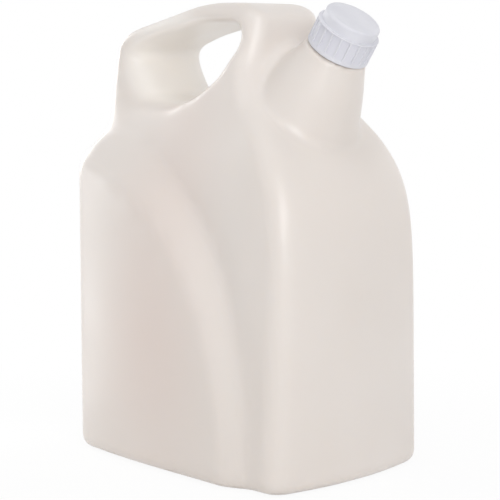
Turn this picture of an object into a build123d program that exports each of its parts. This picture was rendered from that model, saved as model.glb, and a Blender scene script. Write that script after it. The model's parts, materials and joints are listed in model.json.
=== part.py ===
from build123d import *
import math
import os

# Body of the can, outside sizes in millimetres
can_length = 198.0
hip_width = 134.4
belly_width = 146.4
foot_width = 131.0
handle_top = 285.5
wall = 1.2
foot_round = 8.0
foot_ring = 16.0
push_up = 3.0

# Side walls: slight draft, then a lean towards the handle, narrower at the back
side_draft = 0.034
lean_start = 197.0
lean_end = 262.0
lean_slope = 0.42
lean_blend = 10.0
back_taper = 0.085
taper_start = 205.0
taper_end = 260.0

# Front shoulder and the valley in front of the handle
shoulder_start = 192.0
shoulder_end = 237.0
shoulder_blend = 17.0
valley_blend = 4.0
post_x = 40.0

# Bow of the front and back panels and the corner radii, below and at the handle
front_bow = 230.0
back_bow = 420.0
front_corner = 15.0
post_corner = 14.0
back_corner = 17.0
pillar_corner = 16.0
pillar_lean = 0.07

# Raised hip over the lower back, bounded by a quarter of a full ellipse, widest amidships
hip_reach = 158.0
hip_rise = 197.0
hip_band = 0.145
hip_power = 2.2

# Carrying handle and its hand hole
crown_x = -12.0
grip_fall = 20.0
grip_round = 8.0
crown_radius = 30.0
crown_blend = 60.0
heel_radius = 36.0
grip_thick = 17.0
post_thick = 18.0
pillar_thick = 27.0
hole_floor = 226.5
hole_draft = 4.0
hole_round = 6.0
pillar_flare = 16.0
pillar_half = 36.0
hole_sill_share = 0.76
hole_brow_share = 0.20
hole_heel_share = 0.52
hole_nape_share = 0.36

# Neck cone, tilted towards the front; the point is the middle of the cap's lower edge
neck_tilt = 34.8
neck_x = 78.5
neck_z = 259.5
cone_foot_radius = 38.0
cone_length = 56.0
neck_blend = 6.0

# Neck finish and the screw cap that fits over it
finish_radius = 14.9
finish_wall = 2.4
cap_wall = 1.4
drum_clearance = 0.9
thread_room = 3.1
cap_overhang = 0.8
cap_gap = 0.5
skirt_height = 13.2
cap_height = 20.4
cap_edge = 2.0
step_edge = 0.6
liner_thick = 1.2
liner_clearance = 0.4

# Heights of the body sections, as shares of the tank and of the handle above it
tank_shares = (-0.3, -0.15, 0, 0.15, 0.3, 0.45, 0.58, 0.68, 0.77, 0.84, 0.9, 0.95, 1)
handle_shares = (0.09, 0.18, 0.27, 0.36, 0.46, 0.58, 0.72, 0.86, 1)
side_points = 26

# Sizes that follow from the ones above
half_length = can_length / 2
hole_front = post_x - post_thick
hole_back = pillar_thick - half_length
neck_plane = Plane(
    origin=(neck_x, 0, neck_z),
    x_dir=(math.cos(math.radians(neck_tilt)), 0, -math.sin(math.radians(neck_tilt))),
    z_dir=(math.sin(math.radians(neck_tilt)), 0, math.cos(math.radians(neck_tilt))),
)
section_heights = [foot_round + (lean_start - foot_round) * t for t in tank_shares]
section_heights += [lean_start + (handle_top + 10 - lean_start) * t for t in handle_shares]
drum_radius = finish_radius + drum_clearance + cap_wall
cap_radius = finish_radius + thread_room + cap_wall
cone_top_radius = cap_radius - cap_overhang
ceiling = cap_height - cap_wall
rim_height = ceiling - liner_thick
lean_sin = math.sin(math.radians(neck_tilt))
lean_cos = math.cos(math.radians(neck_tilt))
cap_reach = neck_x + (drum_radius - cap_edge) * lean_cos + (cap_height - cap_edge) * lean_sin + cap_edge
middle_x = (cap_reach - half_length) / 2


def soft_ramp(t, blend):
    return blend * math.log(1 + math.exp(t / blend))


def soft_step(t):
    t = min(max(t, 0.0), 1.0)
    return t * t * (3 - 2 * t)


def side_half(z):
    lean = soft_ramp(z - lean_start, lean_blend) - soft_ramp(z - lean_end, lean_blend)
    return foot_width / 2 - side_draft * max(z, 0) - lean_slope * lean


def front_line(z):
    drop = soft_ramp(z - shoulder_start, shoulder_blend) - soft_ramp(z - shoulder_end, valley_blend)
    slope = (half_length - post_x) / (shoulder_end - shoulder_start)
    return half_length - slope * drop


def back_line(z):
    return -half_length + pillar_lean * soft_ramp(z - taper_start, lean_blend)


def half_width(x, z):
    taper = back_taper * (1 - soft_step((z - taper_start) / (taper_end - taper_start)))
    recess = side_half(z) - taper * max(half_length - x - 40, 0)
    along = max(x + half_length, 0) / hip_reach
    arch = (along ** hip_power + (max(z, 0) / hip_rise) ** hip_power) ** (1 / hip_power)
    hip = soft_step((1 - arch) / hip_band + 0.5)
    belly = soft_step((x + half_length) / half_length)
    raised = hip_width / 2 + (belly_width - hip_width) / 2 * belly
    return recess + (raised - recess) * hip


def corner_x(bow, radius, half):
    return bow - math.sqrt((bow - radius) ** 2 - (half - radius) ** 2)


def flip(p):
    return (p[0], -p[1], p[2])


def section(z, inset):
    upper = soft_step((z - lean_start) / 50)
    x_front = front_line(z) - inset
    x_back = back_line(z) + inset
    front_half = half_width(x_front - front_corner, z) - inset
    back_half = half_width(x_back + back_corner, z) - inset
    front_r = min(front_corner + (post_corner - front_corner) * upper, 0.8 * front_half) - inset
    back_r = min(back_corner + (pillar_corner - back_corner) * upper, 0.8 * back_half) - inset
    front_c = x_front - corner_x(front_bow, front_r, front_half)
    back_c = x_back + corner_x(back_bow, back_r, back_half)
    front_a = math.asin((front_half - front_r) / (front_bow - front_r))
    back_a = math.asin((back_half - back_r) / (back_bow - back_r))

    def on_front(angle):
        return (front_c + front_r * math.cos(angle), front_half - front_r + front_r * math.sin(angle), z)

    def on_back(angle):
        return (back_c - back_r * math.cos(angle), back_half - back_r + back_r * math.sin(angle), z)

    side = [(front_c, front_half, z)]
    for i in range(1, side_points):
        x = front_c + (back_c - front_c) * i / side_points
        side.append((x, half_width(x, z) - inset, z))
    side.append((back_c, back_half, z))
    even = [i / side_points for i in range(side_points + 1)]
    aft = (-1, 0, 0)
    fore = (1, 0, 0)
    mid_f = (front_a + math.pi / 2) / 2
    mid_b = (back_a + math.pi / 2) / 2
    f0, fm, f1 = on_front(front_a), on_front(mid_f), side[0]
    b0, bm, b1 = on_back(back_a), on_back(mid_b), side[-1]
    return Wire([
        ThreePointArc(flip(f0), (x_front, 0, z), f0).edge(),
        ThreePointArc(f0, fm, f1).edge(),
        Edge.make_spline(side, tangents=[aft, aft], parameters=even),
        ThreePointArc(b1, bm, b0).edge(),
        ThreePointArc(b0, (x_back, 0, z), flip(b0)).edge(),
        ThreePointArc(flip(b0), flip(bm), flip(b1)).edge(),
        Edge.make_spline([flip(p) for p in reversed(side)], tangents=[fore, fore], parameters=even),
        ThreePointArc(flip(f1), flip(fm), flip(f0)).edge(),
    ])


def rounded_face(corners):
    """Face in the XZ plane; each corner is (x, z, radius) and radius 0 stays sharp."""
    ends = []
    for i, (x, z, radius) in enumerate(corners):
        p = Vector(x, 0, z)
        before = Vector(corners[i - 1][0], 0, corners[i - 1][1])
        after = Vector(corners[(i + 1) % len(corners)][0], 0, corners[(i + 1) % len(corners)][1])
        to_before = (before - p).normalized()
        to_after = (after - p).normalized()
        half = to_before.get_angle(to_after) / 2
        reach = radius / math.tan(math.radians(half))
        depth = radius / math.sin(math.radians(half)) - radius
        middle = p + (to_before + to_after).normalized() * depth
        ends.append((p + to_before * reach, middle, p + to_after * reach, radius))
    edges = []
    for i, (start, middle, end, radius) in enumerate(ends):
        if radius > 0:
            edges.append(ThreePointArc(start, middle, end).edge())
        edges.append(Line(end, ends[(i + 1) % len(ends)][0]).edge())
    return Face(Wire(edges))


def top_z(x, inset):
    """Height of the handle's top line, highest from the crown forwards."""
    fall = grip_fall * max(crown_x - x, 0) / (crown_x + half_length)
    return handle_top - inset - fall


def cone_radius(h, inset):
    slope = (cone_foot_radius - cone_top_radius) / cone_length
    return cone_top_radius - slope * h - inset * math.hypot(1, slope)


def neck_cone(inset):
    top = -cap_gap - inset
    with BuildSketch(Plane.XZ) as half:
        Polygon(
            (0, -cone_length),
            (cone_radius(-cone_length, inset), -cone_length),
            (cone_radius(top, inset), top),
            (0, top),
            align=None,
        )
    return neck_plane.location * revolve(half.sketch, Axis.Z)


def on_cone(point, inset):
    p = neck_plane.to_local_coords(point)
    away = math.hypot(p.X, p.Y) - cone_radius(p.Z, inset)
    return abs(away) < 0.05 and -cone_length + 0.1 < p.Z < -cap_gap - inset - 0.1


def foot(inset):
    """Rounded lower edge, from the standing plane up to where the sides begin."""
    radius = foot_round - inset
    turns = [math.radians(90 * i / 6) for i in range(7)]
    return Solid.make_loft([
        section(foot_round - radius * math.cos(t), inset + radius * (1 - math.sin(t))) for t in turns
    ])


def can_form(inset):
    form = Solid.make_loft([section(z, inset) for z in section_heights])
    far = can_length
    post = post_x + 4 - inset
    heel = back_line(handle_top - grip_fall) - 2.5 + inset
    outline = rounded_face([
        (-far, foot_round, 0),
        (far, foot_round, 0),
        (far, shoulder_start + 25, 0),
        (post + 4, shoulder_end + 12, 0),
        (post, top_z(post, inset), crown_radius - inset),
        (crown_x, top_z(crown_x, inset) + 1, 2 * crown_blend),
        (heel, top_z(heel, inset), heel_radius - inset),
        (back_line(lean_start) - 5, lean_start, 0),
        (-far, lean_start, 0),
    ])
    form = (form & extrude(outline, amount=belly_width, dir=(0, 1, 0), both=True)).solid()
    rim = [e for e in form.edges() if e.center().Z > lean_start + 30 and e.geom_type != GeomType.LINE]
    form = form.fillet(grip_round - inset, rim)
    form = (form + foot(inset)).solid()
    form = (form + neck_cone(inset)).solid()
    seam = [e for e in form.edges() if on_cone(e.position_at(0.3), inset) and on_cone(e.position_at(0.7), inset)]
    form = form.fillet(neck_blend + inset, seam)
    form = (form - hand_hole(inset, 1) - hand_hole(inset, -1)).solid()
    return form.fillet(hole_round - inset, hole_rim(form, inset))


def hole_flare(y):
    """How far the hole has opened towards the pillar at a distance from the middle plane."""
    bend = min(abs(y), 0.97 * pillar_half) / pillar_half
    round_off = pillar_flare * (1 - math.sqrt(1 - bend * bend))
    return round_off + 1.6 * max(abs(y) - 0.97 * pillar_half, 0)


def hole_wire(y, inset):
    grow = abs(y) * math.tan(math.radians(hole_draft)) + inset
    front_top = top_z(hole_front, 0) - grip_thick
    back_top = top_z(hole_back, 0) - grip_thick
    front_rise = front_top - hole_floor
    back_rise = back_top - hole_floor
    back = hole_back - inset - hole_flare(y)
    face = rounded_face([
        (back, hole_floor - grow, hole_heel_share * back_rise + grow),
        (hole_front + grow, hole_floor - grow, hole_sill_share * front_rise + grow),
        (hole_front + grow, front_top + grow, hole_brow_share * front_rise + grow),
        (crown_x, top_z(crown_x, 0) - grip_thick + grow, crown_blend),
        (back, top_z(back, 0) - grip_thick + grow, hole_nape_share * back_rise + grow),
    ])
    return Pos(0, y, 0) * face.outer_wire()


def hand_hole(inset, side):
    """Half of the hand hole, opening out towards one side and most of all at the pillar."""
    reach = (0, 0.3, 0.5, 0.65, 0.77, 0.86, 0.93, 1, 1.12, 1.3)
    return Solid.make_loft([hole_wire(side * r * pillar_half, inset) for r in reach])


def hole_rim(form, inset):
    """Edges where the hand hole breaks through the two sides."""
    def on_rim(p):
        if abs(p.Y) < 0.7 * (half_width(p.X, p.Z) - inset) or not hole_floor - 20 < p.Z < handle_top:
            return False
        return hole_wire(p.Y, inset).distance_to(Vertex(p.X, p.Y, p.Z)) < 0.25

    return [e for e in form.edges() if all(on_rim(e.position_at(t)) for t in (0.2, 0.5, 0.8))]


def base_panel(grow, low, high):
    """Raised middle of the underside."""
    with BuildSketch(Plane.XY.offset(low)) as panel:
        RectangleRounded(
            can_length - 2 * foot_ring + 2 * grow,
            foot_width - 2 * foot_ring + 2 * grow,
            foot_ring,
        )
    return extrude(panel.sketch, amount=high - low, taper=35)


def turned(points):
    """Solid of revolution about the neck axis from (radius, height) points."""
    with BuildSketch(Plane.XZ) as half:
        Polygon(*points, align=None)
    return neck_plane.location * revolve(half.sketch, Axis.Z).solid()


def make_bottle():
    bore = finish_radius - finish_wall
    sink = -cap_gap - 2 * wall
    outer = can_form(0) - base_panel(0, 0, push_up)
    outer = outer + turned([(0, sink), (finish_radius, sink), (finish_radius, rim_height), (0, rim_height)])
    inner = can_form(wall) - base_panel(wall, 0, push_up + wall)
    inner = inner + turned([(0, sink), (bore, sink), (bore, rim_height + 1), (0, rim_height + 1)])
    return (outer - inner).solid()


def ring(solid, radius, height):
    middle = neck_plane.origin + neck_plane.z_dir * height
    circles = solid.edges().filter_by(GeomType.CIRCLE)
    return [e for e in circles if (e.arc_center - middle).length < 0.01 and abs(e.radius - radius) < 0.01]


def make_cap():
    cap = turned([
        (0, ceiling),
        (drum_radius - cap_wall, ceiling),
        (drum_radius - cap_wall, skirt_height - cap_wall),
        (cap_radius - cap_wall, skirt_height - cap_wall),
        (cap_radius - cap_wall, 0),
        (cap_radius, 0),
        (cap_radius, skirt_height),
        (drum_radius, skirt_height),
        (drum_radius, cap_height),
        (0, cap_height),
    ])
    cap = cap.fillet(cap_edge, ring(cap, drum_radius, cap_height))
    return cap.fillet(step_edge, ring(cap, cap_radius, skirt_height))


def make_liner():
    radius = drum_radius - cap_wall - liner_clearance
    return turned([(0, rim_height), (radius, rim_height), (radius, ceiling), (0, ceiling)])


# The origin lies under the middle of the whole can, from its back to the cap's foremost point
to_middle = Pos(-middle_x, 0, 0)
os.makedirs("parts", exist_ok=True)
export_step(to_middle * make_bottle(), "parts/bottle.step")
export_step(to_middle * make_cap(), "parts/screw_cap.step")
export_step(to_middle * make_liner(), "parts/cap_liner.step")
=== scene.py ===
import json
import math

import bmesh
import bpy
import numpy as np
from mathutils import Matrix, Vector

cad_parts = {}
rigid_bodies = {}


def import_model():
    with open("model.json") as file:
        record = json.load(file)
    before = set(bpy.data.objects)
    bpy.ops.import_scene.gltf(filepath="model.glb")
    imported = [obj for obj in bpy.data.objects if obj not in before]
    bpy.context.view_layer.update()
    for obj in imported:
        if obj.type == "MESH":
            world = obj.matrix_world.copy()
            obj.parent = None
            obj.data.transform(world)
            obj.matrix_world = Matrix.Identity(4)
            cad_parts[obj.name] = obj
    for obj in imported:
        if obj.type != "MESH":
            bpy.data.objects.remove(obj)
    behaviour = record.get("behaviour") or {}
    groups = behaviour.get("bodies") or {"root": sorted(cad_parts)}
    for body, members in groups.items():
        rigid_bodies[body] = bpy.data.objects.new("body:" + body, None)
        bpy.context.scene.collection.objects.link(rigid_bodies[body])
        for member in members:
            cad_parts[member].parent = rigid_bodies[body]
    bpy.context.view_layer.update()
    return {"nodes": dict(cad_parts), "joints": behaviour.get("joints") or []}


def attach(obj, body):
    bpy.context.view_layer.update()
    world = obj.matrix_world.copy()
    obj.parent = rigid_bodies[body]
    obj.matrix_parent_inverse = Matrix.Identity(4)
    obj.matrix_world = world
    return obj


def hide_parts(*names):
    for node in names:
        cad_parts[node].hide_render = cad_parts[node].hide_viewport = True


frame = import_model()
scene = bpy.context.scene
scene.view_settings.view_transform = "Standard"

# the neck's own axis carries the cap, its thread and its ribs
capTurn = next(j for j in frame["joints"] if j["name"] == "cap_turn")
neckPoint = Vector(capTurn["pos_m"])
neckAxis = Vector(capTurn["axis"]).normalized()
neckFrame = Matrix.Translation(neckPoint) @ Matrix.Rotation(math.atan2(neckAxis.x, neckAxis.z), 4, "Y")
print("frame loaded:", sorted(frame["nodes"]))


# shader maths: a wrapped socket adds a Math node for each operator
class Wire:
    def __init__(self, shade, socket):
        self.shade = shade
        self.socket = socket

    def calc(self, operation, a, b):
        return self.shade.node("ShaderNodeMath", {"operation": operation}, {0: a, 1: b})

    def __add__(self, other):
        return self.calc("ADD", self, other)

    def __radd__(self, other):
        return self.calc("ADD", other, self)

    def __sub__(self, other):
        return self.calc("SUBTRACT", self, other)

    def __rsub__(self, other):
        return self.calc("SUBTRACT", other, self)

    def __mul__(self, other):
        return self.calc("MULTIPLY", self, other)

    def __rmul__(self, other):
        return self.calc("MULTIPLY", other, self)


# one method makes any node of a tree: its settings first, then the values or links of its sockets
class Shade:
    def __init__(self, tree):
        self.tree = tree
        tree.nodes.clear()

    def node(self, kind, settings=None, sockets=None, out=0):
        made = self.tree.nodes.new(kind)
        for key, value in (settings or {}).items():
            setattr(made, key, value)
        for key, value in (sockets or {}).items():
            if isinstance(value, Wire):
                self.tree.links.new(value.socket, made.inputs[key])
            else:
                made.inputs[key].default_value = value
        return Wire(self, made.outputs[out]) if len(made.outputs) else made

    def objectPlace(self):
        return self.node("ShaderNodeTexCoord", out=3)

    def mixColor(self, factor, a, b):
        return self.node("ShaderNodeMix", {"data_type": "RGBA"}, {0: factor, 6: a, 7: b}, out=2)

    def noise(self, place, scale, detail, rough=0.5):
        return self.node("ShaderNodeTexNoise", None, {
            "Vector": place, "Scale": scale, "Detail": detail, "Roughness": rough,
        })

    def band(self, value, low, high):
        settings = {"interpolation_type": "SMOOTHSTEP"}
        return self.node("ShaderNodeMapRange", settings, {0: value, 1: low, 2: high})

    # 1 within the first reach of a spot, 0 past the second; squash flattens or leaves out an axis
    def near(self, place, squash, spot, reach):
        squashed = self.node("ShaderNodeVectorMath", {"operation": "MULTIPLY"}, {0: place, 1: squash})
        away = self.node("ShaderNodeVectorMath", {"operation": "DISTANCE"}, {0: squashed, 1: spot}, out=1)
        return 1 - self.band(away, *reach)

    def bump(self, height, strength, depth):
        return self.node("ShaderNodeBump", None, {"Strength": strength, "Distance": depth, "Height": height})

    def plastic(self, sockets):
        shader = self.node("ShaderNodeBsdfPrincipled", None, sockets)
        self.node("ShaderNodeOutputMaterial", None, {"Surface": shader})


def newMaterial(name):
    material = bpy.data.materials.new(name)
    material.use_nodes = True
    return material, Shade(material.node_tree)


def paint(hexCode):
    parts = [int(hexCode[i:i + 2], 16) / 255 for i in (0, 2, 4)]
    return [c / 12.92 if c <= 0.04045 else ((c + 0.055) / 1.055) ** 2.4 for c in parts] + [1.0]


# natural polyethylene: milky and finely grained, with painted shade making the middle of the hip darker and
# warmer, and painted light making the hand hole lighter
polyFinish = {
    "pale": paint("e7dfd9"), "warm": paint("e3dad3"), "cloudScale": 6.0, "cloudBand": (0.3, 0.7),
    "paintedShadeTone": paint("e1d2ca"), "paintedShadeSquash": (1.0, 0.0, 0.6),
    "paintedShadeSpots": [  # place, reach, strength
        ((-0.014, 0.0, 0.050), (0.0, 0.072), 0.85),
        ((-0.008, 0.0, 0.114), (0.0, 0.060), 0.5),
    ],
    # painted light: the lighter tone given to the hand hole's inner walls
    "through": paint("f6f1eb"), "holeSquash": (0.55, 0.0, 1.0), "holeMiddle": (-0.0165, 0.0, 0.248),
    "holeReach": (0.027, 0.034), "holeDepth": (0.022, 0.040),
    "scuff": paint("d6ccc2"), "scuffHeight": 0.009, "scuffScale": 160.0, "scuffBand": (0.5, 0.72),
    "scuffCover": 0.6, "scuffRough": 0.15,
    "roughLow": 0.29, "roughHigh": 0.38, "waveScale": 26.0, "waveBand": (0.25, 0.75),
    "grainScale": 1400.0, "waveShare": 2.0, "bump": 0.06, "bumpDepth": 0.0004,
    "glow": 0.12, "glowTint": (1.0, 0.8, 0.62), "glowReach": 0.004, "bending": 1.5,
}


def makePolyMaterial():
    f = polyFinish
    material, s = newMaterial("naturalPolyethylene")
    place = s.objectPlace()
    cloud = s.noise(place, f["cloudScale"], 3.0)
    wave = s.noise(place, f["waveScale"], 1.0)
    grain = s.noise(place, f["grainScale"], 1.0)
    height = s.node("ShaderNodeSeparateXYZ", None, {0: place}, out=2)
    lowEdge = 1 - s.band(height, 0.0, f["scuffHeight"])
    scuff = lowEdge * s.band(s.noise(place, f["scuffScale"], 4.0, 0.65), *f["scuffBand"])
    tone = s.mixColor(s.band(cloud, *f["cloudBand"]), f["pale"], f["warm"])
    # painted shade: each spot mixes a darker, warmer tone into the hip around its place
    for spot, reach, strength in f["paintedShadeSpots"]:
        tone = s.mixColor(s.near(place, f["paintedShadeSquash"], spot, reach) * strength, tone, f["paintedShadeTone"])
    across = s.node("ShaderNodeSeparateXYZ", None, {0: place}, out=1)
    side = s.node("ShaderNodeMath", {"operation": "ABSOLUTE"}, {0: across})
    # painted light: the hand hole's walls are lighter round its middle and fade back towards the outer faces
    holeLightMask = s.near(place, f["holeSquash"], f["holeMiddle"], f["holeReach"])
    lit = s.mixColor(holeLightMask * (1 - s.band(side, *f["holeDepth"])), tone, f["through"])
    s.plastic({
        "Base Color": s.mixColor(scuff * f["scuffCover"], lit, f["scuff"]),
        "Roughness": (f["roughLow"] + (f["roughHigh"] - f["roughLow"]) * s.band(wave, *f["waveBand"])
                      + scuff * f["scuffRough"]),
        "Normal": s.bump(grain + wave * f["waveShare"], f["bump"], f["bumpDepth"]), "IOR": f["bending"],
        "Subsurface Weight": f["glow"], "Subsurface Radius": f["glowTint"],
        "Subsurface Scale": f["glowReach"],
    })
    return material


# white polypropylene of the cap, with painted shade making the panels between the ribs a little greyer
capFinish = {
    "white": paint("dfdfe5"), "shade": paint("d9d9e0"), "recess": paint("d8d8e0"),
    "cloudScale": 60.0, "cloudBand": (0.3, 0.7), "roughLow": 0.42, "roughHigh": 0.52,
    "grainScale": 2600.0, "bump": 0.08, "bumpDepth": 0.0002, "bending": 1.49,
}


def makeCapMaterial():
    f = capFinish
    material, s = newMaterial("whitePolypropylene")
    place = s.objectPlace()
    cloud = s.noise(place, f["cloudScale"], 3.0)
    grain = s.noise(place, f["grainScale"], 1.0)
    relief = s.node("ShaderNodeAttribute", {"attribute_name": "relief"}, out=2)
    outer = s.mixColor(s.band(cloud, *f["cloudBand"]), f["white"], f["shade"])
    s.plastic({
        # painted shade: the panels between the ribs take the greyer colour
        "Base Color": s.mixColor(relief, f["recess"], outer),
        "Roughness": f["roughLow"] + (f["roughHigh"] - f["roughLow"]) * cloud,
        "Normal": s.bump(grain, f["bump"], f["bumpDepth"]), "IOR": f["bending"],
    })
    return material


# foamed liner disc inside the cap
linerFinish = {
    "foam": paint("efeee9"), "cell": paint("dfddd6"), "cellScale": 1800.0, "cellBand": (0.1, 0.6),
    "rough": 0.75, "bump": 0.3, "bumpDepth": 0.0002,
}


def makeLinerMaterial():
    f = linerFinish
    material, s = newMaterial("foamedLiner")
    cells = s.node("ShaderNodeTexVoronoi", None, {"Vector": s.objectPlace(), "Scale": f["cellScale"]})
    s.plastic({
        "Base Color": s.mixColor(s.band(cells, *f["cellBand"]), f["cell"], f["foam"]),
        "Roughness": f["rough"], "Normal": s.bump(cells, f["bump"], f["bumpDepth"]),
    })
    return material


polyMaterial = makePolyMaterial()
capMaterial = makeCapMaterial()
linerMaterial = makeLinerMaterial()
print("materials made")


def dress(mesh, material):
    mesh.materials.clear()
    mesh.materials.append(material)
    mesh.polygons.foreach_set("use_smooth", [True] * len(mesh.polygons))


def addPiece(name, mesh, material):
    piece = bpy.data.objects.new(name, mesh)
    scene.collection.objects.link(piece)
    dress(mesh, material)
    return piece


# turns a piece's modifiers into its plain mesh
def settle(piece):
    bpy.context.view_layer.update()
    mesh = bpy.data.meshes.new_from_object(piece.evaluated_get(bpy.context.evaluated_depsgraph_get()))
    piece.modifiers.clear()
    piece.data = mesh
    return piece


def upNeck(point):
    return (Vector(point) - neckPoint).dot(neckAxis)


# bottle: the moulded skin over the whole can, with its wall and its cavity
bottleSkin = {"voxel": 0.0020, "smoothPasses": 5, "inset": 0.0}
bottleCavity = {"voxel": 0.0030, "smoothPasses": 2, "inset": 0.0012}  # coarser: it is not seen
bottleSplit = {"merge": 5e-8, "rimDepth": 1e-5, "neckPlane": -0.0004}  # the skin ends under the neck finish


def closedIsland(mesh, faces, name):
    keep = {f.index for f in faces}
    part = mesh.copy()
    part.faces.ensure_lookup_table()
    bmesh.ops.delete(part, geom=[f for f in part.faces if f.index not in keep], context="FACES")
    bmesh.ops.edgeloop_fill(part, edges=[e for e in part.edges if e.is_boundary])
    bmesh.ops.triangulate(part, faces=[f for f in part.faces if len(f.verts) > 3])
    made = bpy.data.meshes.new(name)
    part.to_mesh(made)
    part.free()
    return made


# a copy of the CAD shell, parted at the neck's rim into its outside and its cavity
def bottleForms():
    p = bottleSplit
    b = bmesh.new()
    b.from_mesh(frame["nodes"]["bottle"].data)
    bmesh.ops.remove_doubles(b, verts=b.verts, dist=p["merge"])
    top = max(upNeck(v.co) for v in b.verts)
    b.faces.ensure_lookup_table()
    b.faces.index_update()
    rimFaces = {f.index for f in b.faces if all(upNeck(v.co) > top - p["rimDepth"] for v in f.verts)}
    start = max(b.faces, key=lambda f: f.calc_center_median().z)
    outer, stack = {start.index}, [start]
    while stack:
        for e in stack.pop().edges:
            for f in e.link_faces:
                if f.index not in outer and f.index not in rimFaces:
                    outer.add(f.index)
                    stack.append(f)
    outside = [f for f in b.faces if f.index in outer]
    skinFaces = [f for f in outside if upNeck(f.calc_center_median()) < p["neckPlane"]]
    cavityFaces = [f for f in b.faces if f.index not in outer and f.index not in rimFaces]
    skin = closedIsland(b, skinFaces, "bottleSkin")
    cavity = closedIsland(b, cavityFaces, "bottleCavity")
    b.free()
    return skin, cavity


def rise(value, low, high):
    t = np.clip((value - low) / (high - low), 0.0, 1.0)
    return t * t * (3.0 - 2.0 * t)


# how far a point counts to a bend: in between its low and high, back and front ranges
def within(x, z, b):
    return rise(z, *b["low"]) * (1 - rise(z, *b["high"])) * rise(x, *b["back"]) * (1 - rise(x, *b["front"]))


# the hand hole's sill and brow rise in one long curve at the front
sillBend = {
    "lift": 0.0075,
    "low": (0.198, 0.226), "high": (0.236, 0.262), "back": (-0.034, 0.010), "front": (0.026, 0.044),
}
browBend = {
    "lift": 0.0050,
    "low": (0.232, 0.258), "high": (0.266, 0.2845), "back": (-0.085, -0.045), "front": (0.026, 0.044),
}
gripFall = {"crown": -0.0142, "slope": 0.23}  # the brow follows the grip down to the back

# the hole's back wall slants, further forward at its foot than under the grip
wallSlant = {
    "foot": 0.0105, "top": -0.0045, "heights": (0.234, 0.262),
    "low": (0.212, 0.232), "high": (0.256, 0.270), "back": (-0.094, -0.077), "front": (-0.054, -0.012),
}

# the pillar runs into the side without an edge
pillarSoft = {
    "passes": 120, "least": 0.01,
    "low": (0.198, 0.216), "high": (0.248, 0.266), "back": (-0.094, -0.076), "front": (-0.040, -0.014),
}

# the hip bows out evenly from the back corner
hipBow = {
    "out": 0.0060, "power": 2.2, "tuck": 0.0015, "tuckPower": 4,
    "back": -0.1012, "middle": -0.0022, "half": 0.070, "fade": (0.140, 0.196),
}

# the cone slims a little towards the cap and steps in under the skirt's lower edge;
# the cavity steps lower and further in, by these shares of the wall
neckTuck = {
    "slim": 0.0009, "slimHeights": (-0.026, -0.004), "inner": 0.0160, "stepHeights": (-0.0036, -0.0028),
    "cavityLow": 2.2, "cavityHigh": 2.0, "cavityIn": 1.4, "reach": (0.024, 0.036),
}


def bendHip(x, y, z):
    w = hipBow
    t = np.clip((x - w["back"]) / (w["middle"] - w["back"]), 0.0, 1.0)
    bow = w["out"] * (1 - (1 - t) ** w["power"] - rise(t, 0.0, 1.0)) - w["tuck"] * (1 - t) ** w["tuckPower"]
    return y * (1 + bow * (1 - rise(z, *w["fade"])) / w["half"])


def bendHole(x, z):
    slant = wallSlant["foot"] + (wallSlant["top"] - wallSlant["foot"]) * rise(z, *wallSlant["heights"])
    underTop = z + gripFall["slope"] * np.clip(gripFall["crown"] - x, 0.0, None)
    sill = sillBend["lift"] * within(x, z, sillBend)
    brow = browBend["lift"] * within(x, underTop, browBend)
    return x + slant * within(x, z, wallSlant), z + sill + brow


def tuckNeck(spots, inset):
    n = neckTuck
    away = spots - np.array(neckPoint)
    height = away @ np.array(neckAxis)
    outward = away - height[:, None] * np.array(neckAxis)
    radius = np.linalg.norm(outward, axis=1)
    slim = n["slim"] * rise(height, *n["slimHeights"]) * (radius > n["inner"] - inset)
    low, high = n["stepHeights"]
    level = rise(height, low - n["cavityLow"] * inset, high - n["cavityHigh"] * inset)
    step = level * np.clip(radius - n["inner"] + n["cavityIn"] * inset, 0.0, None)
    inReach = 1 - rise(radius, *n["reach"])
    return spots - outward * ((slim + step) * inReach / np.maximum(radius, 1e-6))[:, None]


# moves a form's points and gives back how much each is to be softened at the pillar
def bend(mesh, inset):
    spots = np.empty(len(mesh.vertices) * 3)
    mesh.vertices.foreach_get("co", spots)
    x, y, z = spots.reshape(-1, 3).T.copy()
    forward, up = bendHole(x, z)
    bent = tuckNeck(np.stack([forward, bendHip(x, y, z), up], axis=1), inset)
    mesh.vertices.foreach_set("co", bent.ravel())
    return within(x, z, pillarSoft)


def evenForm(piece, form):
    remesh = piece.modifiers.new("even", "REMESH")
    remesh.mode = "VOXEL"
    remesh.voxel_size = form["voxel"]
    smooth = piece.modifiers.new("soft", "SMOOTH")
    smooth.iterations = form["smoothPasses"]
    settle(piece)
    weights = bend(piece.data, form["inset"])
    group = piece.vertex_groups.new(name="pillar")
    for index in np.flatnonzero(weights > pillarSoft["least"]):
        group.add([int(index)], float(weights[index]), "REPLACE")
    smooth = piece.modifiers.new("round", "SMOOTH")
    smooth.iterations = round(pillarSoft["passes"] * (bottleSkin["voxel"] / form["voxel"]) ** 2)
    smooth.vertex_group = "pillar"
    settle(piece)
    piece.vertex_groups.clear()


def makeBottle():
    skinMesh, cavityMesh = bottleForms()
    piece = addPiece("bottle_shell", skinMesh, polyMaterial)
    cavity = addPiece("cavityTool", cavityMesh, polyMaterial)
    evenForm(piece, bottleSkin)
    evenForm(cavity, bottleCavity)
    cut = piece.modifiers.new("hollow", "BOOLEAN")
    cut.operation = "DIFFERENCE"
    cut.solver = "MANIFOLD"
    cut.object = cavity
    settle(piece)
    bpy.data.objects.remove(cavity)
    mesh = piece.data
    dress(mesh, polyMaterial)
    mesh.calc_loop_triangles()
    print("bottle triangles", len(mesh.loop_triangles))
    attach(piece, "can")
    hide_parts("bottle")


makeBottle()
print("bottle made")


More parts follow.
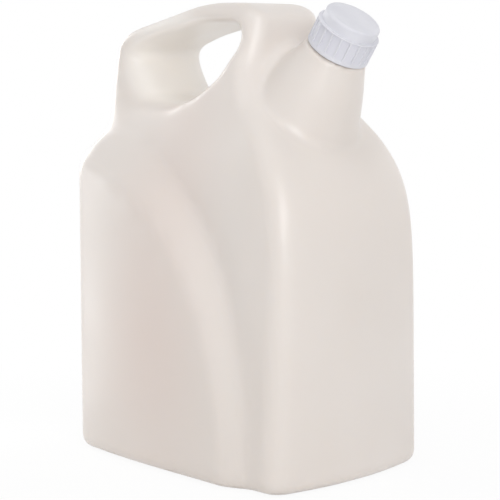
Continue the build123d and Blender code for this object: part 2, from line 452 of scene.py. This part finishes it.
# a closed form turned about the neck axis from (radius, height) points, both ends on the axis or joined
def turnedMesh(name, profile, segments):
    b = bmesh.new()
    rings = []
    for radius, height in profile:
        if radius < 1e-7:
            rings.append([b.verts.new((0, 0, height))])
        else:
            angles = [2 * math.pi * i / segments for i in range(segments)]
            rings.append([b.verts.new((radius * math.cos(a), radius * math.sin(a), height)) for a in angles])
    closed = len(rings[0]) > 1
    pairs = list(zip(rings, rings[1:] + rings[:1])) if closed else list(zip(rings, rings[1:]))
    for upper, lower in pairs:
        for i in range(segments):
            k = (i + 1) % segments
            corners = [upper[i % len(upper)], lower[i % len(lower)]]
            corners += [lower[k % len(lower)], upper[k % len(upper)]]
            b.faces.new(list(dict.fromkeys(corners)))
    bmesh.ops.recalc_face_normals(b, faces=b.faces)
    mesh = bpy.data.meshes.new(name)
    b.to_mesh(mesh)
    b.free()
    return mesh


def arcPoints(center, radius, first, last, steps):
    turns = [math.radians(first + (last - first) * i / steps) for i in range(steps + 1)]
    return [(center[0] + radius * math.cos(t), center[1] + radius * math.sin(t)) for t in turns]


def joinMeshes(name, meshes):
    b = bmesh.new()
    for mesh in meshes:
        b.from_mesh(mesh)
    made = bpy.data.meshes.new(name)
    b.to_mesh(made)
    b.free()
    return made


# a geometry tree with named inputs; grow gives back the plain mesh it makes
class Grower:
    def __init__(self, name, inputs):
        self.name = name
        self.tree = bpy.data.node_groups.new(name, "GeometryNodeTree")
        self.tree.interface.new_socket("Geometry", in_out="OUTPUT", socket_type="NodeSocketGeometry")
        self.ids = {}
        for key, value in inputs.items():
            kind = "NodeSocketInt" if isinstance(value, int) else "NodeSocketFloat"
            self.ids[key] = self.tree.interface.new_socket(key, in_out="INPUT", socket_type=kind).identifier
        self.values = inputs
        self.nodes = Shade(self.tree)
        group = self.tree.nodes.new("NodeGroupInput")
        self.sizes = {key: Wire(self.nodes, group.outputs[key]) for key in inputs}

    def grow(self, shape, material):
        node = self.nodes.node
        real = node("GeometryNodeRealizeInstances", None, {0: shape})
        done = node("GeometryNodeSetMaterial", None, {"Geometry": real, "Material": material})
        node("NodeGroupOutput", None, {0: done})
        holder = bpy.data.objects.new(self.name, bpy.data.meshes.new(self.name))
        scene.collection.objects.link(holder)
        modifier = holder.modifiers.new(self.name, "NODES")
        modifier.node_group = self.tree
        for key, value in self.values.items():
            modifier[self.ids[key]] = value
        mesh = settle(holder).data
        bpy.data.objects.remove(holder)
        return mesh


threadEnds = {"length": 0.05, "least": 0.08}  # share of the thread that runs out, and its height there


def spiralThread(name, sizes, material):
    g = Grower(name, sizes)
    node, size = g.nodes.node, g.sizes
    line = node("GeometryNodeCurveSpiral", None, {
        "Resolution": size["Steps a turn"], "Rotations": size["Turns"], "Start Radius": size["Root radius"],
        "End Radius": size["Root radius"], "Height": size["Turns"] * size["Pitch"], "Reverse": True,
    })
    level = node("GeometryNodeSetCurveNormal", {"mode": "Z_UP"}, {"Curve": line})
    depth, root, crest = size["Depth"], size["Root width"] * 0.5, size["Crest width"] * 0.5
    spots = [(0.0, root), (depth, crest), (depth, crest * -1.0), (0.0, root * -1.0)]
    if sizes["Depth"] > 0:
        spots.reverse()
    points = [node("ShaderNodeCombineXYZ", None, {0: x, 1: y}) for x, y in spots]
    outline = node("GeometryNodeCurvePrimitiveQuadrilateral", {"mode": "POINTS"}, {
        "Point 1": points[0], "Point 2": points[1], "Point 3": points[2], "Point 4": points[3],
    })
    along = node("GeometryNodeSplineParameter")
    ends = node("ShaderNodeMath", {"operation": "MINIMUM"}, {0: along, 1: 1 - along})
    taper = node("ShaderNodeMapRange", {"interpolation_type": "SMOOTHSTEP"}, {
        0: ends, 1: 0.0, 2: threadEnds["length"], 3: threadEnds["least"], 4: 1.0,
    })
    ridge = node("GeometryNodeCurveToMesh", None, {
        "Curve": level, "Profile Curve": outline, "Scale": taper, "Fill Caps": True,
    })
    raised = node("GeometryNodeTransform", None, {
        "Geometry": ridge, "Translation": node("ShaderNodeCombineXYZ", None, {2: size["Start height"]}),
    })
    return g.grow(raised, material)


# neck finish: the threaded tube on top of the cone
neckShape = {
    "outer": 0.0149, "bore": 0.0125, "foot": -0.0029, "rim": 0.0178, "edge": 0.0005,
    "segments": 120, "crease": 40,
}
neckThread = {
    "Turns": 1.75, "Pitch": 0.0045, "Start height": 0.0022, "Root radius": 0.0148, "Depth": 0.0021,
    "Root width": 0.0020, "Crest width": 0.0008, "Steps a turn": 72,
}


def makeNeck():
    n = neckShape
    e = n["edge"]
    profile = [(n["outer"], n["foot"])]
    profile += arcPoints((n["outer"] - e, n["rim"] - e), e, 0, 90, 4)
    profile += arcPoints((n["bore"] + e, n["rim"] - e), e, 90, 180, 4)
    profile.append((n["bore"], n["foot"]))
    tube = turnedMesh("neckTube", profile, n["segments"])
    mesh = joinMeshes("neck_finish", [tube, spiralThread("neckThread", neckThread, polyMaterial)])
    mesh.transform(neckFrame)
    piece = addPiece("neck_finish", mesh, polyMaterial)
    mesh.set_sharp_from_angle(angle=math.radians(n["crease"]))
    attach(piece, "can")


makeNeck()
print("neck finish made")

# screw cap: smooth drum over a skirt with thin ribs between a rim and a plain band
capShape = {
    "skirt": 0.0194, "panel": 0.0185, "drum": 0.0172, "wall": 0.0014,
    "height": 0.0204, "step": 0.0132, "edge": 0.0020, "soft": 0.00035,
    "rim": 0.0010, "band": 0.0018, "ledge": 0.0014, "low": -0.0025, "segments": 180, "crease": 38,
}
capRibs = {
    "Count": 20, "Radius": capShape["panel"], "Proud": 0.00085, "Width": 0.00110, "Round": 0.00030,
    "Bottom": -0.0004, "Top": 0.0126,
}
capThread = {  # half a pitch above the neck's thread
    "Turns": neckThread["Turns"], "Pitch": neckThread["Pitch"],
    "Start height": neckThread["Start height"] + neckThread["Pitch"] / 2, "Root radius": 0.0181,
    "Depth": -0.0021, "Root width": 0.0018, "Crest width": 0.0008, "Steps a turn": 72,
}


def ribMesh():
    g = Grower("capRibs", capRibs)
    node, size = g.nodes.node, g.sizes
    ring = node("GeometryNodeMeshCircle", None, {"Vertices": size["Count"], "Radius": size["Radius"]})
    low = node("ShaderNodeCombineXYZ", None, {2: size["Bottom"]})
    high = node("ShaderNodeCombineXYZ", None, {2: size["Top"]})
    stem = node("GeometryNodeCurvePrimitiveLine", None, {"Start": low, "End": high})
    outline = node("GeometryNodeCurvePrimitiveQuadrilateral", None, {
        "Width": size["Proud"] * 2.0, "Height": size["Width"],
    })
    rounded = node("GeometryNodeFilletCurve", {"mode": "POLY"}, {
        "Curve": outline, "Count": 3, "Radius": size["Round"], "Limit Radius": True,
    })
    rib = node("GeometryNodeCurveToMesh", None, {"Curve": stem, "Profile Curve": rounded, "Fill Caps": True})
    spot = node("GeometryNodeInputPosition")
    outward = node("FunctionNodeAlignRotationToVector", {"axis": "X"}, {"Vector": spot})
    ribs = node("GeometryNodeInstanceOnPoints", None, {"Points": ring, "Instance": rib, "Rotation": outward})
    return g.grow(ribs, capMaterial)


# the attribute relief is 0 on the panels between the ribs and 1 elsewhere; it places the painted shade on
# the panels
def markRelief(mesh, panelLow, near=1e-5):
    relief = mesh.attributes.new("relief", "FLOAT", "POINT")
    for vertex, value in zip(mesh.vertices, relief.data):
        away = math.hypot(vertex.co.x, vertex.co.y)
        onPanel = abs(away - capShape["panel"]) < near and vertex.co.z > panelLow - near
        value.value = 0.0 if onPanel else 1.0


def makeCap():
    c = capShape
    e, w = c["soft"], c["wall"]
    panelTop, panelLow = c["step"] - c["rim"], c["low"] + c["band"] + c["ledge"]
    profile = [(0.0, c["height"])]
    profile += arcPoints((c["drum"] - c["edge"], c["height"] - c["edge"]), c["edge"], 90, 0, 8)
    profile += arcPoints((c["drum"] + e, c["step"] + e), e, 180, 270, 3)
    profile += arcPoints((c["skirt"] - e, c["step"] - e), e, 90, 0, 4)
    profile += [(c["skirt"], panelTop + e), (c["panel"], panelTop), (c["panel"], panelLow)]
    profile += [(c["skirt"], c["low"] + c["band"])]
    profile += arcPoints((c["skirt"] - e, c["low"] + e), e, 0, -90, 4)
    profile += [(c["skirt"] - w, c["low"]), (c["skirt"] - w, c["step"] - w), (c["drum"] - w, c["step"] - w)]
    profile += [(c["drum"] - w, c["height"] - w), (0.0, c["height"] - w)]
    shell = turnedMesh("capShell", profile, c["segments"])
    mesh = joinMeshes("cap_shell", [shell, ribMesh(), spiralThread("capThread", capThread, capMaterial)])
    markRelief(mesh, panelLow)
    mesh.transform(neckFrame)
    piece = addPiece("cap_shell", mesh, capMaterial)
    mesh.set_sharp_from_angle(angle=math.radians(c["crease"]))
    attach(piece, "cap")
    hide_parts("screw_cap")


makeCap()
liner = frame["nodes"]["cap_liner"].data
liner.materials.clear()
liner.materials.append(linerMaterial)
print("cap and liner made")

# camera and soft studio
cameraSetup = {
    "azimuth": 46.09, "elevation": 7.20, "distance": 1.0, "target": (0.000286, 0.0, 0.13185),
    "lens": 113.71, "sensor": 36.0, "nearest": 0.05,
}


def around(azimuth, elevation):
    a, e = math.radians(azimuth), math.radians(elevation)
    return Vector((math.sin(a) * math.cos(e), -math.cos(a) * math.cos(e), math.sin(e)))


def makeCamera():
    c = cameraSetup
    back = around(c["azimuth"], c["elevation"])
    data = bpy.data.cameras.new("photoCamera")
    data.sensor_width = c["sensor"]
    data.lens = c["lens"]
    data.clip_start = c["nearest"]
    camera = bpy.data.objects.new("photoCamera", data)
    camera.location = Vector(c["target"]) + back * c["distance"]
    camera.rotation_euler = (-back).to_track_quat("-Z", "Y").to_euler()
    scene.collection.objects.link(camera)
    scene.camera = camera


studio = {
    "worldLight": 0.54, "floorSize": 6.0, "floorTone": 0.90, "floorWhite": 0.92, "floorFade": (0.14, 0.34),
    "aim": (0.0, 0.0, 0.14),
    "lamps": [  # name, azimuth, elevation, distance, size, watts, mirrored in the gloss
        ("keyLamp", 62.0, 22.0, 1.7, 0.7, 5.4, True),
        ("faceLamp", 47.0, 11.0, 1.7, 0.3, 3.6, True),
        ("rimLamp", -92.0, 15.0, 1.4, 0.8, 6.0, True),
        ("topLamp", 40.0, 72.0, 1.5, 0.8, 3.6, False),
        ("farLamp", 177.0, 15.0, 1.5, 0.6, 4.8, False),
    ],
}
stripLamp = {
    "place": (-0.190, -0.125, 0.105), "aim": (-0.070, -0.060, 0.105),
    "width": 0.04, "height": 0.20, "power": 0.045,
}


# 1 for what the camera or a gloss sees of the room
def seenStraight(s):
    return s.node("ShaderNodeMath", {"operation": "MAXIMUM"}, {
        0: s.node("ShaderNodeLightPath", out=0), 1: s.node("ShaderNodeLightPath", out=3),
    })


def makeWorld():
    world = bpy.data.worlds.new("softRoom")
    scene.world = world
    world.use_nodes = True
    s = Shade(world.node_tree)
    strength = studio["worldLight"] + (1.0 - studio["worldLight"]) * seenStraight(s)
    glow = s.node("ShaderNodeBackground", None, {"Color": (1, 1, 1, 1), "Strength": strength})
    s.node("ShaderNodeOutputWorld", None, {"Surface": glow})


def makeFloor():
    material, s = newMaterial("paleFloor")
    seen = seenStraight(s)
    away = s.node("ShaderNodeVectorMath", {"operation": "LENGTH"}, {0: s.objectPlace()}, out=1)
    cover = studio["floorWhite"] + (1.0 - studio["floorWhite"]) * s.band(away, *studio["floorFade"])
    tone = studio["floorTone"]
    matt = s.node("ShaderNodeBsdfDiffuse", None, {"Color": (tone, tone, tone, 1)})
    white = s.node("ShaderNodeEmission", None, {"Color": (1, 1, 1, 1), "Strength": 1.0})
    mixed = s.node("ShaderNodeMixShader", None, {0: seen * cover, 1: matt, 2: white})
    s.node("ShaderNodeOutputMaterial", None, {"Surface": mixed})
    half = studio["floorSize"]
    mesh = bpy.data.meshes.new("floor")
    corners = [(-half, -half, 0), (half, -half, 0), (half, half, 0), (-half, half, 0)]
    mesh.from_pydata(corners, [], [(0, 1, 2, 3)])
    floor = addPiece("floor", mesh, material)


def addLamp(data, power, spot, aim):
    data.energy = power
    lamp = bpy.data.objects.new(data.name, data)
    lamp.location = spot
    lamp.rotation_euler = (Vector(aim) - Vector(spot)).to_track_quat("-Z", "Y").to_euler()
    scene.collection.objects.link(lamp)
    return lamp


def makeLamps():
    for name, azimuth, elevation, distance, size, power, mirrored in studio["lamps"]:
        data = bpy.data.lights.new(name, "AREA")
        data.shape = "DISK"
        data.size = size
        spot = Vector(studio["aim"]) + around(azimuth, elevation) * distance
        addLamp(data, power, spot, studio["aim"]).visible_glossy = mirrored
    t = stripLamp
    data = bpy.data.lights.new("stripLamp", "AREA")
    data.shape = "RECTANGLE"
    data.size, data.size_y = t["width"], t["height"]
    addLamp(data, t["power"], t["place"], t["aim"]).visible_camera = False


makeCamera()
makeWorld()
makeFloor()
makeLamps()
print("camera and studio made")
